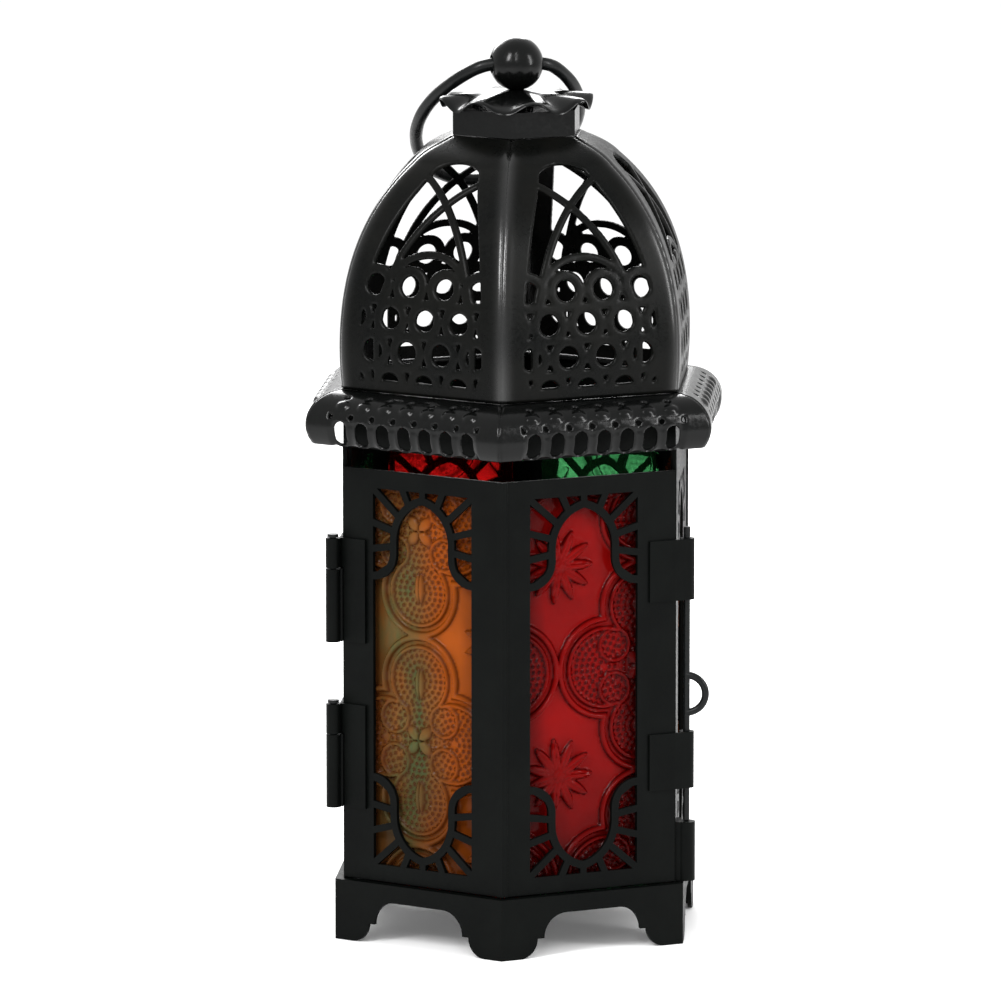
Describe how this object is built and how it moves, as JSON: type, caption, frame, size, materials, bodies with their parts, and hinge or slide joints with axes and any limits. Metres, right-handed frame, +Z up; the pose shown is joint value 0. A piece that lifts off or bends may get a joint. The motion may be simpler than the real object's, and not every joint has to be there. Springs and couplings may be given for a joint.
{
  "type": "candle lantern",
  "caption": "Hexagonal candle lantern of pierced black sheet iron with coloured pressed-glass panes, a hinged corner door with a slide bolt, a pierced dome and a ring handle.",
  "frame": {"origin": "on the centre line, at the level of the surface that the feet stand on", "axes": "+Z up through the finial, -Y towards the front corner between the two door panels, +X to the right seen from the front"},
  "size_m": [0.0988, 0.114, 0.22],
  "materials": {
    "satin_black_iron": "satin black paint on sheet iron",
    "gloss_black_iron": "glossier black paint",
    "black_wire": "satin black paint on iron wire",
    "cup_tin": "dull tinned sheet",
    "amber_glass": "pressed relief",
    "red_glass": "pressed relief",
    "green_glass": "pressed relief"
  },
  "bodies": {
    "lantern": {"base_skirt": "satin_black_iron", "floor_tray": "satin_black_iron", "candle_cup": "cup_tin", "cup_rivet": "satin_black_iron", "panel_right": "satin_black_iron", "panel_back_right": "satin_black_iron", "panel_back_left": "satin_black_iron", "panel_left": "satin_black_iron", "glass_right": "amber_glass", "glass_back_right": "green_glass", "glass_back_left": "red_glass", "glass_left": "green_glass", "glass_clips": "satin_black_iron", "corner_strip_right": "satin_black_iron", "corner_strip_back": "satin_black_iron", "corner_strip_left": "satin_black_iron", "hinge_upper_fixed_leaf": "satin_black_iron", "hinge_lower_fixed_leaf": "satin_black_iron", "hinge_upper_pin": "black_wire", "hinge_lower_pin": "black_wire", "bolt_keeper": "satin_black_iron", "roof_tabs": "satin_black_iron", "roof_band": "satin_black_iron", "eave_front_right": "gloss_black_iron", "eave_right": "gloss_black_iron", "eave_back_right": "gloss_black_iron", "eave_back_left": "gloss_black_iron", "eave_left": "gloss_black_iron", "eave_front_left": "gloss_black_iron", "dome_front_right": "satin_black_iron", "dome_right": "satin_black_iron", "dome_back_right": "satin_black_iron", "dome_back_left": "satin_black_iron", "dome_left": "satin_black_iron", "dome_front_left": "satin_black_iron", "neck_collar": "gloss_black_iron", "cap_spacer": "satin_black_iron", "scalloped_cap": "gloss_black_iron", "finial_stud": "satin_black_iron", "finial_nut": "satin_black_iron", "finial_ball": "gloss_black_iron"},
    "door": {"door_panel_left": "satin_black_iron", "door_panel_right": "satin_black_iron", "door_glass_left": "amber_glass", "door_glass_right": "red_glass", "door_glass_clips": "satin_black_iron", "door_corner_strip": "satin_black_iron", "hinge_upper_door_leaf": "satin_black_iron", "hinge_lower_door_leaf": "satin_black_iron", "bolt_strap_upper": "satin_black_iron", "bolt_strap_lower": "satin_black_iron"},
    "bolt": {"slide_bolt": "black_wire"},
    "ring": {"hanging_ring": "black_wire"}
  },
  "joints": [
    {"name": "door_hinge", "type": "hinge", "parent": "lantern", "child": "door", "pos_m": [-0.043, -0.02483, 0.066], "axis": [0, 0, -1], "range_deg": [0, 110]},
    {"name": "bolt_slide", "type": "slide", "parent": "door", "child": "bolt", "axis": [0, 0, 1], "range_m": [-0.0034, 0.014]},
    {"name": "ring_swing", "type": "hinge", "parent": "lantern", "child": "ring", "pos_m": [0, 0, 0.2134], "axis": [0.9537, 0.3007, 0], "range_deg": [0, 259]}
  ]
}
